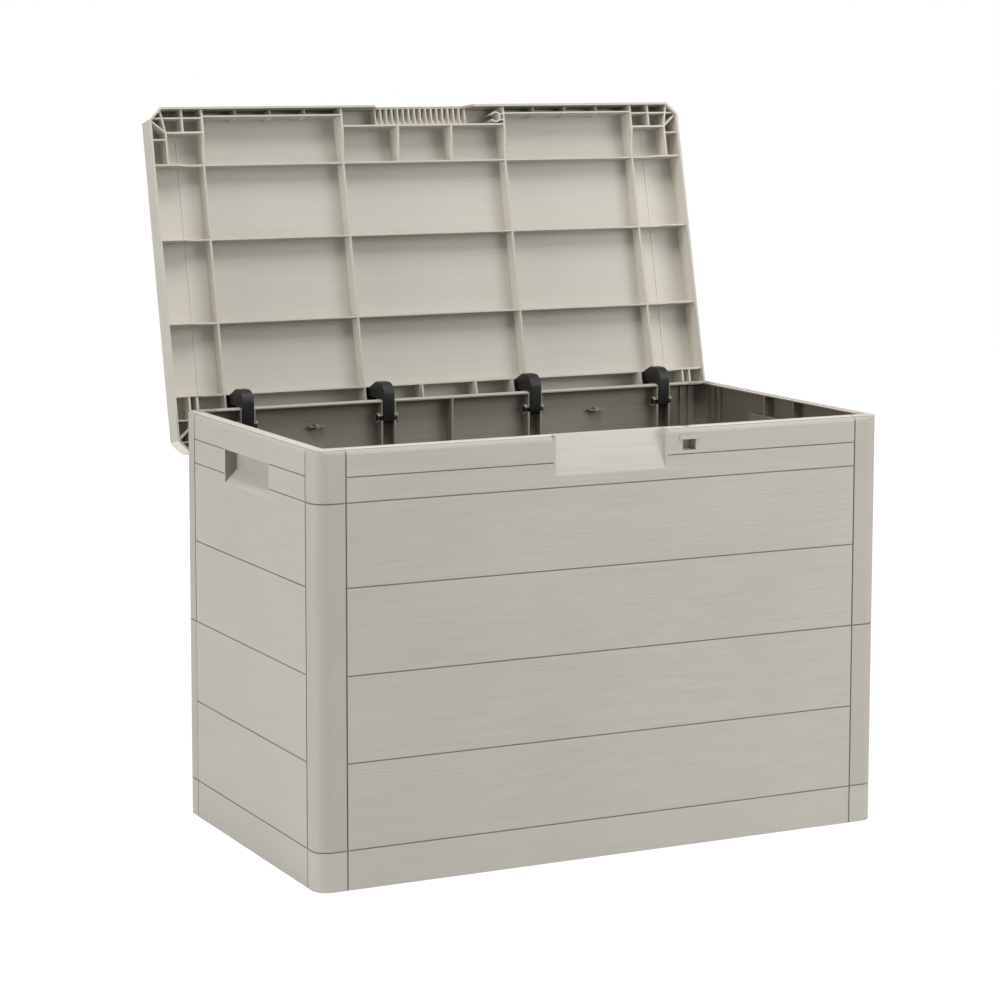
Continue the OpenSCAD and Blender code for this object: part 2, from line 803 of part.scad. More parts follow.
module small_ribs() {
    last = lid_d - cross_last;
    // backing rib of the grip, with two stays behind it
    cross_rib(grip_b, -inner_rib_x, inner_rib_x, band_z0);
    for (s = [-1, 1]) {
        long_rib(s * short_x, grip_b, cross_first, main_z0);
        long_ramp(s * short_x, grip_b);
        long_rib(s * short_x, last, lid_d, rear_band_z0);
        long_rib(s * end_x, last, lid_d, rear_band_z0);
        // inner walls of the arm pockets
        for (x = [inner_rib_x, outer_rib_x]) long_rib(s * (x - pocket_w), last, lid_d, rear_band_z0);
    }
    // thin front ribs and their gussets
    for (s = [-1, 1]) {
        scale([s, 1, 1]) cross_rib(thin_rib_b, inner_rib_x, outer_rib_x, band_z0, tooth_t);
        for (i = [-1, 0, 1])
            long_rib(s * (inner_rib_x + outer_rib_x) / 2 + i * gusset_pitch,
                     0, thin_rib_b + gusset_reach, main_z0, tooth_t);
    }
}

fan_in = 22; // how far the corner cells reach in from the sides
fan_b = 33; // how far the corner cells reach in from the front or rear
fan_rib_b = 14; // rib nearest to the front or rear
fan_step = 9; // step in the cell's wall where it meets the side
fan_shift = 2; // how far the cell's middle rib stands off centre
fan_foot = 2; // how far the slanted ribs' outer ends lie inside the skirt's face

// Ribs of the right front corner; the others are its mirror images
module corner_fan(z) {
    x1 = lid_w / 2;
    cell_x = x1 - fan_in;
    cross_rib(fan_rib_b, outer_rib_x, x1, z, tooth_t);
    cross_rib(fan_b, outer_rib_x, cell_x, z);
    cross_rib(fan_b + fan_step, cell_x, x1, z, tooth_t);
    long_rib(cell_x, fan_b, cross_first, z);
    long_rib((outer_rib_x + cell_x) / 2 + fan_shift, 0, fan_b, z, tooth_t);
    for (to = [[x1 - fan_foot, lid_chamfer], [x1 - lid_chamfer, fan_foot]]) {
        dx = to[0] - cell_x;
        dy = to[1] - fan_b;
        translate([cell_x, lid_front_y + fan_b, z]) rotate(atan2(dy, dx))
            translate([0, -tooth_t / 2, 0]) cube([sqrt(dx * dx + dy * dy), tooth_t, plate_z + eps - z]);
    }
}

module corner_fans() {
    for (s = [-1, 1]) scale([s, 1, 1]) {
        corner_fan(band_z0);
        translate([0, lid_front_y + lid_rear_y, 0]) scale([1, -1, 1]) intersection() {
            corner_fan(rear_band_z0);
            span(0, lid_w, lid_front_y, lid_front_y + cross_last, 0, lid_top);
        }
    }
}

module grip_comb() {
    z = lid_z + notch_h;
    w = (grip_teeth - 1) * grip_pitch;
    for (i = [0:grip_teeth - 1]) long_rib(i * grip_pitch - w / 2, skirt_t, grip_b, z - tooth_rise, tooth_t);
    // the floor between the teeth, which slopes up to the backing rib
    translate([-w / 2, lid_front_y, 0]) rotate([90, 0, 90]) linear_extrude(w)
        polygon([[grip_b / 3, plate_z + eps], [grip_b, z + floor_sink], [grip_b, plate_z + eps]]);
}

collar_wall = 2;
collar_r = lock_r + collar_wall;
stay_y = 4; // of the collar's stays, on each side of its axis
collar_gap_w = 6;

// A collar over the rim's lock hole, open on its left, with two stays to the long rib
module lock_collar() {
    difference() {
        union() {
            translate([lock_x, lock_y, band_z0]) cylinder(r = collar_r, h = plate_z - band_z0 + eps);
            for (y = [-stay_y, stay_y])
                span(lock_x, inner_rib_x, lock_y + y - tooth_t / 2, lock_y + y + tooth_t / 2,
                     band_z0, plate_z + eps);
        }
        translate([lock_x, lock_y, band_z0 - over]) cylinder(r = lock_r, h = plate_z - band_z0 + over);
        span(lock_x - 2 * collar_r, lock_x, lock_y - collar_gap_w / 2, lock_y + collar_gap_w / 2,
             band_z0 - over, plate_z);
    }
}

lip_w = 2;
lip_t = 1.5;
lip_start = 8; // from the arm's end to where the lips begin

// Lips that hold each arm's foot against the plate
module foot_lips() {
    edge = (pocket_w - lid_rib_t) / 2;
    z = plate_z - foot_t - fit_gap;
    for (x = arm_xs, s = [-1, 1]) translate([x, 0, 0]) scale([s, 1, 1])
        span(edge - lip_w, edge + eps, last_rib_y + fit_gap + lip_start, last_rib_y + foot_l, z - lip_t, z);
}

notch_slope = 12; // run of the notch's slanted ends

module skirt_notch() {
    half = scoop_w / 2;
    translate([0, lid_front_y + skirt_t + eps, 0]) rotate([90, 0, 0]) linear_extrude(skirt_t + over)
        polygon([
            [-half, lid_z - over], [half, lid_z - over],
            [half - notch_slope, lid_z + notch_h], [-half + notch_slope, lid_z + notch_h]
        ]);
}

module lid_top_grooves() {
    pitch = lid_d / lid_planks;
    x = lid_w / 2 - lid_band_w;
    for (s = [-1, 1])
        span(s * x - groove_w / 2, s * x + groove_w / 2, lid_front_y - over, lid_rear_y + over,
             lid_top - groove_d, lid_top + over);
    for (i = [1:lid_planks - 1])
        span(-x, x, lid_front_y + i * pitch - groove_w / 2, lid_front_y + i * pitch + groove_w / 2,
             lid_top - groove_d, lid_top + over);
}

module closed_lid() {
    difference() {
        union() {
            difference() {
                intersection() {
                    lid_block(lid_z, lid_top, 0);
                    translate([0, (lid_front_y + lid_rear_y) / 2, 0])
                        rounded_top(lid_w, lid_d, lid_top, lid_edge_r);
                }
                lid_block(lid_z - over, plate_z, skirt_t);
            }
            intersection() {
                lid_block(lid_z, plate_z + eps, skirt_t - eps);
                union() {
                    main_ribs();
                    groove_backs();
                    small_ribs();
                    corner_fans();
                    grip_comb();
                    lock_collar();
                    foot_lips();
                }
            }
        }
        skirt_notch();
        lid_top_grooves();
    }
}

module lid() color(lid_plastic) as_opened() closed_lid();

base_tray();
post_lower(-1, -1);  // front_left_post_lower
post_upper(-1, -1);  // front_left_post_upper
post_lower(1, -1);  // front_right_post_lower
post_upper(1, -1);  // front_right_post_upper
post_lower(-1, 1);  // rear_left_post_lower
post_upper(-1, 1);  // rear_left_post_upper
post_lower(1, 1);  // rear_right_post_lower
post_upper(1, 1);  // rear_right_post_upper
lower_cross_panel(-1);  // lower_front_panel
lower_cross_panel(1);  // lower_rear_panel
lower_side_panel(-1);  // lower_left_panel
lower_side_panel(1);  // lower_right_panel
upper_front_panel();
upper_rear_panel();
upper_side_panel(-1);  // upper_left_panel
upper_side_panel(1);  // upper_right_panel
hinge_arm(arm_xs[0]);  // hinge_arm_1
hinge_arm(arm_xs[1]);  // hinge_arm_2
hinge_arm(arm_xs[2]);  // hinge_arm_3
hinge_arm(arm_xs[3]);  // hinge_arm_4
lid();
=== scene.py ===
import json
import math

import bmesh
import bpy
import numpy as np
from mathutils import Matrix, Vector
from mathutils.kdtree import KDTree


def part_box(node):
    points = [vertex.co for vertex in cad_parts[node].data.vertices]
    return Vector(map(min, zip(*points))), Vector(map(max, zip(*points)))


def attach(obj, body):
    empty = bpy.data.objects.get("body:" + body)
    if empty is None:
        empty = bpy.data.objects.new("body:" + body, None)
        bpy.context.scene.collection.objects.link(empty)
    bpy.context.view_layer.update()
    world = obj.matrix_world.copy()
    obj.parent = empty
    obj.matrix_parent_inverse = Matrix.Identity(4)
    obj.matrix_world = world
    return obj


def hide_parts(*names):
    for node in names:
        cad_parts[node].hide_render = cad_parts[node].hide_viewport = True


mm = 0.001
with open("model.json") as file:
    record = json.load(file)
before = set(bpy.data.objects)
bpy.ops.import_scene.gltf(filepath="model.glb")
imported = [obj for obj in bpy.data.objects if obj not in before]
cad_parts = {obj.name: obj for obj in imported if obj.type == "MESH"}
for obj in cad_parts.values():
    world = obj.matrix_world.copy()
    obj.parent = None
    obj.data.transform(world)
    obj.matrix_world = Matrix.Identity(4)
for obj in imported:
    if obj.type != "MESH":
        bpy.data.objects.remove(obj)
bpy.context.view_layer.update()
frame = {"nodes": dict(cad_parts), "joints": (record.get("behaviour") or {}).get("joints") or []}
hinge = frame["joints"][0]
pivot = Vector(hinge["pos_m"])
openAngle = math.radians(hinge["range_deg"][1])  # rest is open, the far limit is closed


# A short way to place and join the nodes of one tree
class Graph:

    def __init__(self, tree):
        self.tree = tree
        self.count = 0

    def add(self, kind, inputs=None, **settings):
        node = self.tree.nodes.new(kind)
        node.location = (220 * (self.count % 8), -260 * (self.count // 8))
        self.count += 1
        for key, value in settings.items():
            setattr(node, key, value)
        for key, value in (inputs or {}).items():
            if isinstance(value, bpy.types.NodeSocket):
                self.tree.links.new(value, node.inputs[key])
            else:
                node.inputs[key].default_value = value
        return node

    def math(self, operation, a, b=0.0):
        return self.add("ShaderNodeMath", {0: a, 1: b}, operation=operation).outputs[0]

    def plus(self, a, b):
        return self.math("ADD", a, b)

    def less(self, a, b):
        return self.math("SUBTRACT", a, b)

    def times(self, a, b):
        return self.math("MULTIPLY", a, b)

    def noise(self, place, scale, detail, **rest):
        inputs = {"Vector": place, "Scale": scale, "Detail": detail, **rest}
        return self.add("ShaderNodeTexNoise", inputs).outputs["Fac"]

    def range(self, value, low, high, outLow, outHigh):
        node = self.add("ShaderNodeMapRange", {0: value, 1: low, 2: high, 3: outLow, 4: outHigh})
        return node.outputs[0]


camera = {
    "place": (-1.6830, -3.2632, 0.9790),
    "azimuth": -25.929,
    "elevation": 6.894,
    "lens": 105.66,
    "shift": (0.0386, -0.10),  # keeps the uprights nearly parallel
}

studio = {
    "floorSize": 60.0,
    "floorColor": (0.80, 0.80, 0.80),
    "floorRoughness": 0.9,
    "floorGlow": 1.13,    # brightness of the floor as the camera sees it
    "floorShadow": 0.14,  # share of the real light in that
    "fill": 0.32,         # even light from all round
    "backdrop": 1.0,      # what the camera sees behind the box
    "lampTarget": Vector((0, 0, 0.4)),
    "lamps": {            # azimuth from the front, elevation, distance, width, watts
        "leftLamp": (-90, 3, 4.0, 2.0, 84),
        "rightLamp": (48, 24, 2.8, 1.6, 36),
        "highLamp": (-15, 74, 4.0, 2.0, 128),
        "backLamp": (176, 18, 4.0, 2.0, 60),
    },
}


# Direction out from the box, with azimuth counted from the front
def outward(azimuth, elevation):
    az, el = math.radians(azimuth), math.radians(elevation)
    return Vector((math.sin(az) * math.cos(el), -math.cos(az) * math.cos(el), math.sin(el)))


def aimCamera():
    data = bpy.data.cameras.new("studioCamera")
    data.lens = camera["lens"]
    data.shift_x, data.shift_y = camera["shift"]
    obj = bpy.data.objects.new("studioCamera", data)
    bpy.context.scene.collection.objects.link(obj)
    back = outward(camera["azimuth"], camera["elevation"])
    obj.location = camera["place"]
    obj.rotation_mode = "QUATERNION"
    obj.rotation_quaternion = (-back).to_track_quat("-Z", "Y")
    bpy.context.scene.camera = obj


def hangLamp(name, azimuth, elevation, distance, width, watts):
    data = bpy.data.lights.new(name, "AREA")
    data.energy = watts
    data.size = width
    lamp = bpy.data.objects.new(name, data)
    bpy.context.scene.collection.objects.link(lamp)
    toLamp = outward(azimuth, elevation)
    lamp.location = studio["lampTarget"] + toLamp * distance
    lamp.rotation_mode = "QUATERNION"
    lamp.rotation_quaternion = (-toLamp).to_track_quat("-Z", "Y")


def lightStudio():
    world = bpy.data.worlds.new("studioWorld")
    world.use_nodes = True
    tree = world.node_tree
    background = tree.nodes["Background"]
    background.inputs["Color"].default_value = (1, 1, 1, 1)
    seen = tree.nodes.new("ShaderNodeLightPath")
    level = tree.nodes.new("ShaderNodeMapRange")
    level.inputs["To Min"].default_value = studio["fill"]
    level.inputs["To Max"].default_value = studio["backdrop"]
    tree.links.new(seen.outputs["Is Camera Ray"], level.inputs["Value"])
    tree.links.new(level.outputs[0], background.inputs["Strength"])
    bpy.context.scene.world = world
    bpy.context.scene.view_settings.view_transform = "Standard"
    for name, lamp in studio["lamps"].items():
        hangLamp(name, *lamp)


def layFloor():
    mesh = bpy.data.meshes.new("studioFloor")
    half = studio["floorSize"] / 2
    corners = [(-half, -half, 0), (half, -half, 0), (half, half, 0), (-half, half, 0)]
    mesh.from_pydata(corners, [], [(0, 1, 2, 3)])
    floor = bpy.data.objects.new("studioFloor", mesh)
    bpy.context.scene.collection.objects.link(floor)
    material = bpy.data.materials.new("paleFloor")
    material.use_nodes = True
    tree = material.node_tree
    shader = tree.nodes["Principled BSDF"]
    shader.inputs["Base Color"].default_value = (*studio["floorColor"], 1)
    shader.inputs["Roughness"].default_value = studio["floorRoughness"]
    g = Graph(tree)
    glow = g.add("ShaderNodeEmission", {"Color": (1, 1, 1, 1), "Strength": studio["floorGlow"]})
    seen = g.add("ShaderNodeLightPath").outputs["Is Camera Ray"]
    share = g.times(seen, 1 - studio["floorShadow"])
    mixed = g.add("ShaderNodeMixShader", {0: share, 1: shader.outputs[0], 2: glow.outputs[0]})
    tree.links.new(mixed.outputs[0], tree.nodes["Material Output"].inputs["Surface"])
    mesh.materials.append(material)


aimCamera()
lightStudio()
layFloor()
print("studio ready")


noiseSpan = (0.3, 0.7)  # where nearly all values of a noise lie

plastic = {
    "wall": (0.440, 0.413, 0.366),
    "post": (0.410, 0.382, 0.335),
    "base": (0.440, 0.418, 0.378),
    "lid": (0.484, 0.459, 0.404),
    "roughness": (0.56, 0.70),
    "ior": 1.48,
    "grainStretch": 22.0,   # how much longer than wide the grain is
    "grainScale": 190.0,    # streaks per metre across the grain
    "ringScale": 27.0,      # broad figure per metre across the grain
    "ringCount": 90.0,      # how closely the bands of that figure lie
    "swayScale": 26.0,
    "swayReach": 0.05,
    "fineScale": 900.0,
    "reliefDepth": 0.35 * mm,
    "relief": (0.75, 0.10, 0.10),  # shares of streaks, bands and fine speckle
    "tone": (0.6, 0.08),           # shares of streaks and bands
    "toneSpan": (0.15, 0.6),
    "streakContrast": 0.045,
    "cloudScale": 5.0,
    "cloudTone": (0.975, 1.025),
    "plankStart": 0.056,
    "plankPitch": 0.1034,   # a new figure starts on each plank
    "plankStep": 1.37,      # how far the figure moves on from one plank to the next
    "paintedShadeWarmth": (1.10, 1.0, 0.84),  # warm tint of the faces that painted shade darkens
}


# The plain place, then the place along the grain, across it and up
def grainAxes(g, along, turned):
    place = g.add("ShaderNodeTexCoord").outputs["Object"]
    if turned:  # bring the open lid's surface back to how it lies when closed
        place = g.add("ShaderNodeMapping", {"Vector": place, "Location": -pivot}).outputs[0]
        place = g.add("ShaderNodeMapping", {"Vector": place, "Rotation": (openAngle, 0, 0)}).outputs[0]
    axes = g.add("ShaderNodeSeparateXYZ", {0: place}).outputs
    order = {"X": (0, 1, 2), "Y": (1, 0, 2), "Z": (2, 0, 1)}[along]
    run, across, rise = (axes[i] for i in order)
    fromStart = g.plus(across if turned else rise, plastic["plankStart"])
    plank = g.math("FLOOR", g.math("DIVIDE", fromStart, plastic["plankPitch"]))
    run = g.plus(run, g.times(plank, plastic["plankStep"]))
    return place, g.math("DIVIDE", run, plastic["grainStretch"]), across, rise


# Matte plastic with a wood grain pressed into it, running along one axis
def grainedPlastic(name, color, along, grain=1.0, turned=False):
    material = bpy.data.materials.new(name)
    material.use_nodes = True
    tree = material.node_tree
    shader = tree.nodes["Principled BSDF"]
    g = Graph(tree)
    place, run, across, rise = grainAxes(g, along, turned)
    lay = g.add("ShaderNodeCombineXYZ", {0: run, 1: across, 2: rise}).outputs[0]
    sway = g.noise(lay, plastic["swayScale"], 2.0)
    bend = g.times(g.less(sway, 0.5), plastic["swayReach"])
    bent = {0: run, 1: g.plus(across, bend), 2: g.plus(rise, bend)}
    wavy = g.add("ShaderNodeCombineXYZ", bent).outputs[0]
    streaks = g.noise(wavy, plastic["grainScale"], 5.0, Roughness=0.65)
    rings = g.noise(wavy, plastic["ringScale"], 1.0)
    bands = g.math("SINE", g.times(rings, plastic["ringCount"]))
    fine = g.noise(place, plastic["fineScale"], 2.0)

    streakPart, bandPart, finePart = plastic["relief"]
    relief = g.plus(g.times(streaks, streakPart), g.times(bands, bandPart))
    relief = g.plus(relief, g.times(fine, finePart))
    depth = plastic["reliefDepth"] * grain
    bump = g.add("ShaderNodeBump", {"Height": relief, "Distance": depth, "Strength": 1.0})

    streakPart, bandPart = plastic["tone"]
    tone = g.plus(g.times(streaks, streakPart), g.times(bands, bandPart))
    contrast = plastic["streakContrast"] * grain
    shade = g.range(tone, *plastic["toneSpan"], 1 - contrast, 1 + contrast)
    cloud = g.noise(place, plastic["cloudScale"], 2.0)
    shade = g.times(shade, g.range(cloud, *noiseSpan, *plastic["cloudTone"]))

    # each face's painted shade, painted light where it is below 0, which also warms its colour
    darker = g.add("ShaderNodeAttribute", attribute_name="shade").outputs["Fac"]
    shade = g.times(shade, g.less(1.0, darker))
    warmEnds = {0: darker, 4: (1, 1, 1), 5: plastic["paintedShadeWarmth"]}
    warmth = g.add("ShaderNodeMix", warmEnds, data_type="VECTOR").outputs[1]
    warmed = g.add("ShaderNodeVectorMath", {0: warmth, 1: color}, operation="MULTIPLY").outputs[0]
    tint = g.add("ShaderNodeVectorMath", {0: warmed, "Scale": shade}, operation="SCALE").outputs[0]
    tree.links.new(tint, shader.inputs["Base Color"])
    tree.links.new(bump.outputs[0], shader.inputs["Normal"])
    tree.links.new(g.range(streaks, *noiseSpan, *plastic["roughness"]), shader.inputs["Roughness"])
    shader.inputs["IOR"].default_value = plastic["ior"]
    return material


hingeFinish = {
    "color": (0.0075, 0.0070, 0.0074),
    "tone": (0.8, 1.4),
    "roughness": (0.44, 0.58),
    "speckle": 1400.0,
    "smear": 60.0,
    "depth": 0.06 * mm,
}


def blackPlastic(name):
    material = bpy.data.materials.new(name)
    material.use_nodes = True
    tree = material.node_tree
    shader = tree.nodes["Principled BSDF"]
    g = Graph(tree)
    place = g.add("ShaderNodeTexCoord").outputs["Object"]
    speckle = g.noise(place, hingeFinish["speckle"], 3.0)
    smear = g.noise(place, hingeFinish["smear"], 2.0)
    bump = g.add("ShaderNodeBump", {"Height": speckle, "Distance": hingeFinish["depth"]})
    tone = g.range(smear, *noiseSpan, *hingeFinish["tone"])
    tint = g.add("ShaderNodeVectorMath", {0: hingeFinish["color"], "Scale": tone}, operation="SCALE")
    tree.links.new(tint.outputs[0], shader.inputs["Base Color"])
    tree.links.new(bump.outputs[0], shader.inputs["Normal"])
    tree.links.new(g.range(smear, *noiseSpan, *hingeFinish["roughness"]), shader.inputs["Roughness"])
    return material


acrossGrain = grainedPlastic("crossWallPlastic", plastic["wall"], "X")
sideGrain = grainedPlastic("sideWallPlastic", plastic["wall"], "Y")
postGrain = grainedPlastic("postPlastic", plastic["post"], "Z", grain=0.45)
baseGrain = grainedPlastic("basePlastic", plastic["base"], "X", grain=0.5)
lidGrain = grainedPlastic("lidPlastic", plastic["lid"], "X", grain=0.6, turned=True)
armPlastic = blackPlastic("armPlastic")
print("materials ready")


def linkMesh(name, mesh):
    obj = bpy.data.objects.new(name, mesh)
    bpy.context.scene.collection.objects.link(obj)
    return obj


# Applies every modifier and leaves a plain mesh at the origin
def settle(obj):
    bpy.context.view_layer.update()
    evaluated = obj.evaluated_get(bpy.context.evaluated_depsgraph_get())
    mesh = bpy.data.meshes.new_from_object(evaluated)
    mesh.name = obj.name
    obj.modifiers.clear()
    old = obj.data
    obj.data = mesh
    if old.users == 0:
        bpy.data.meshes.remove(old)
    return obj


mould = {
    "sharpAngle": math.radians(30),  # edges that turn further than this are rounded
    "flatAngle": math.radians(1),    # faces that turn less than this become one
    "weld": 0.002 * mm,
    "segments": 2,
    "room": 0.45,                    # share of the next edge that a rounding may take up
    "least": 0.08,                   # a smaller share of the width leaves the edge sharp
    "alongCosine": 0.8,              # an edge that runs on like this one takes no room
    "tries": 10,
    "reach": 1.2 * mm,               # edges this near to a fold are left sharp
    "smallFace": 1e-4,               # square metres, like the two areas below
    "leastTurned": 0.2e-6,
    "areaError": (0.02, 0.3e-6),     # share of the face's area, and a fixed part
    "blend": math.cos(math.radians(35)),  # shading blends between faces that turn less than this
}


# Gives each sharp edge as much rounding as the edges next to it have room for
def weighEdges(work, width):
    layer = work.edges.layers.float.new("bevel_weight_edge")
    for edge in work.edges:
        if len(edge.link_faces) != 2 or edge.calc_face_angle(0) < mould["sharpAngle"]:
            continue
        along = (edge.verts[1].co - edge.verts[0].co).normalized()
        room = width / mould["room"]
        for vert in edge.verts:
            for other in {o for face in edge.link_faces for o in face.edges if vert in o.verts} - {edge}:
                course = (other.verts[1].co - other.verts[0].co).normalized()
                if abs(along.dot(course)) < mould["alongCosine"]:
                    room = min(room, other.calc_length())
        weight = mould["room"] * room / width
        edge[layer] = min(1.0, weight) if weight > mould["least"] else 0.0
    return layer


# Faces that cross themselves, where two roundings meet in too little room
def foldedFaces(mesh):
    mesh.calc_loop_triangles()
    filled = np.zeros(len(mesh.polygons))
    turned = set()
    for triangle in mesh.loop_triangles:
        face = mesh.polygons[triangle.polygon_index]
        filled[face.index] += triangle.area
        if triangle.area > mould["leastTurned"] and triangle.normal.dot(face.normal) < 0:
            turned.add(face.index)
    share, fixed = mould["areaError"]
    return [f for f in mesh.polygons
            if f.index in turned or abs(filled[f.index] - f.area) > share * f.area + fixed]


# Wide faces stay flat and the roundings take the turn; nothing blends past the blend angle
def smoothFaces(piece):
    mesh = piece.data
    mesh.shade_smooth()
    around = [[] for _ in mesh.vertices]
    for face in mesh.polygons:
        for vert in face.vertices:
            around[vert].append((face.normal.copy(), face.area))
    normals = []
    for face in mesh.polygons:
        for vert in face.vertices:
            total = Vector()
            for normal, area in around[vert]:
                if normal.dot(face.normal) > mould["blend"]:
                    total += normal * area
            normals.append(total.normalized())
    mesh.normals_split_custom_set(normals)


# Stores each face's painted shade (painted light below 0), found from its place and its normal
def shadeFaces(piece, rule):
    mesh = piece.data
    values = [rule(face.center, face.normal) for face in mesh.polygons]
    mesh.attributes.new("shade", "FLOAT", "FACE").data.foreach_set("value", values)


# One try at the rounding, with the weights that the edges have now
def roundedMesh(piece, work, width):
    work.to_mesh(piece.data)
    bevel = piece.modifiers.new("roundedEdges", "BEVEL")
    bevel.width = width
    bevel.segments = mould["segments"]
    bevel.limit_method = "WEIGHT"
    bevel.use_clamp_overlap = False
    bpy.context.view_layer.update()
    evaluated = piece.evaluated_get(bpy.context.evaluated_depsgraph_get())
    rounded = bpy.data.meshes.new_from_object(evaluated)
    piece.modifiers.clear()
    return rounded


# Rounds every sharp edge, and leaves an edge sharp where rounding it would fold a face
def roundEdges(piece, width):
    work = bmesh.new()
    work.from_mesh(piece.data)
    bmesh.ops.remove_doubles(work, verts=work.verts, dist=mould["weld"])
    bmesh.ops.dissolve_limit(work, angle_limit=mould["flatAngle"], verts=work.verts, edges=work.edges)
    layer = weighEdges(work, width)
    for turn in range(mould["tries"]):
        rounded = roundedMesh(piece, work, width)
        folded = foldedFaces(rounded)
        if not folded:
            break
        small = [f for f in folded if f.area < mould["smallFace"]]
        near = KDTree(sum(len(f.vertices) for f in small or folded))
        for f in small or folded:
            for v in f.vertices:
                near.insert(rounded.vertices[v].co, v)
        near.balance()
        for edge in work.edges:
            if edge[layer] > 0 and min(near.find(v.co)[2] for v in edge.verts) < mould["reach"]:
                edge[layer] = 0.0
    work.free()
    rounded.name = piece.name
    piece.data = rounded
    smoothFaces(piece)


# A CAD node's own shape, welded, with its edges rounded as a mould leaves them
def mouldedCopy(node, material, body, width, rule=None):
    mesh = frame["nodes"][node].data.copy()
    mesh.materials.clear()
    mesh.materials.append(material)
    piece = linkMesh(node + "_moulded", mesh)
    roundEdges(piece, width)
    # painted shade and painted light for each face, when a rule is given
    if rule:
        shadeFaces(piece, rule)
    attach(piece, body)
    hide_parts(node)
    return piece


boxShade = {                # painted shade on each face, as a share darker than the plain plastic; painted light below 0
    "half": Vector((0.3845, 0.212)),
    "corner": 19 * mm,
    "inside": 0.45,         # painted shade on the inner faces
    # painted shade on the right wall's inner face, darker than on the other inner faces
    "paintedRightWallShade": 0.56,
    "rightStart": 0.3,
    "insideDepth": 2.7 * mm,
    "floorTop": 4 * mm,
    "paintedRearWallShade": (0.46, 0.34),  # painted shade at the left and right end of the rear wall's inner face
    "rearSpan": 1.2,        # width that the change takes, in half widths of the box
    "rearDepth": 20 * mm,
    # painted shade in the grooves and seams
    "paintedGrooveShade": 0.42,
    "grooveDepth": 0.45 * mm,
    "grooveTop": 505 * mm,
    "rimUnder": 518.5 * mm,
    # painted highlight on the rim's top faces
    "paintedRimHighlight": -0.32,
    "paintedRearRimShade": 0.08,        # painted shade, as the open lid shades the rear rim
    "pocket": 0.16,         # painted shade on the back and ends of a hand recess
    # painted light on a recess floor that faces up
    "pocketFloor": -0.22,
    "pocketDepth": 0.2 * mm,
    # painted light on the scoop's back and ends
    "scoop": -0.16,
    "scoopTop": 0.51,       # only the scoop reaches higher than this
    "slope": 0.2,           # least rise of a normal that counts as a floor
    "facing": 0.5,
}
pockets = [  # low and high corner of each place where the outer face turns inward
    (Vector((-0.386, -0.0735, 0.440)), Vector((-0.367, 0.0685, 0.488))),
    (Vector((0.367, -0.0735, 0.440)), Vector((0.386, 0.0685, 0.488))),
    (Vector((-0.076, -0.213, 0.4705)), Vector((0.076, -0.199, 0.521))),
    (Vector((0.090, -0.213, 0.489)), Vector((0.126, -0.195, 0.508))),
]


# How far inside the outer outline a point lies
def planDepth(x, y):
    r = boxShade["corner"]
    a = abs(x) - boxShade["half"].x + r
    b = abs(y) - boxShade["half"].y + r
    return r - math.hypot(max(a, 0), max(b, 0)) - min(max(a, b), 0)


# Painted shade on the box's inner faces; on the rear wall it is darker towards the left
def insideShade(place, normal):
    rule = boxShade
    if place.y > rule["half"].y - rule["rearDepth"] and normal.y < -rule["facing"]:
        left, right = rule["paintedRearWallShade"]
        share = place.x / rule["half"].x / rule["rearSpan"] + 0.5
        return left + (right - left) * min(1.0, max(0.0, share))
    if place.z > rule["floorTop"]:
        toTheRight = normal.x < -rule["facing"] and place.x > rule["rightStart"]
        return rule["paintedRightWallShade"] if toTheRight else rule["inside"]
    return None


# Painted shade and painted light for each face of the box, from its place and its normal
def boxFaceShade(place, normal):
    rule = boxShade
    depth = planDepth(place.x, place.y)
    # painted shade and painted light in the hand recesses, the scoop and the lock window
    for low, high in pockets:
        if all(low[i] < place[i] < high[i] for i in range(3)) and depth > rule["pocketDepth"]:
            side = rule["scoop"] if high.z > rule["scoopTop"] else rule["pocket"]
            return rule["pocketFloor"] if normal.z > rule["slope"] else side
    # painted highlight on the rim's top and painted shade on the rear rim
    if place.z > rule["rimUnder"]:
        if place.y > rule["half"].y - rule["rearDepth"]:
            return rule["paintedRearRimShade"]
        return rule["paintedRimHighlight"] if normal.z > rule["facing"] else 0.0
    inner = insideShade(place, normal) if depth > rule["insideDepth"] else None
    if inner is not None:
        return inner
    # painted shade in grooves and seams below the rim
    inGroove = depth > rule["grooveDepth"] and place.z < rule["grooveTop"]
    return rule["paintedGrooveShade"] if inGroove else 0.0


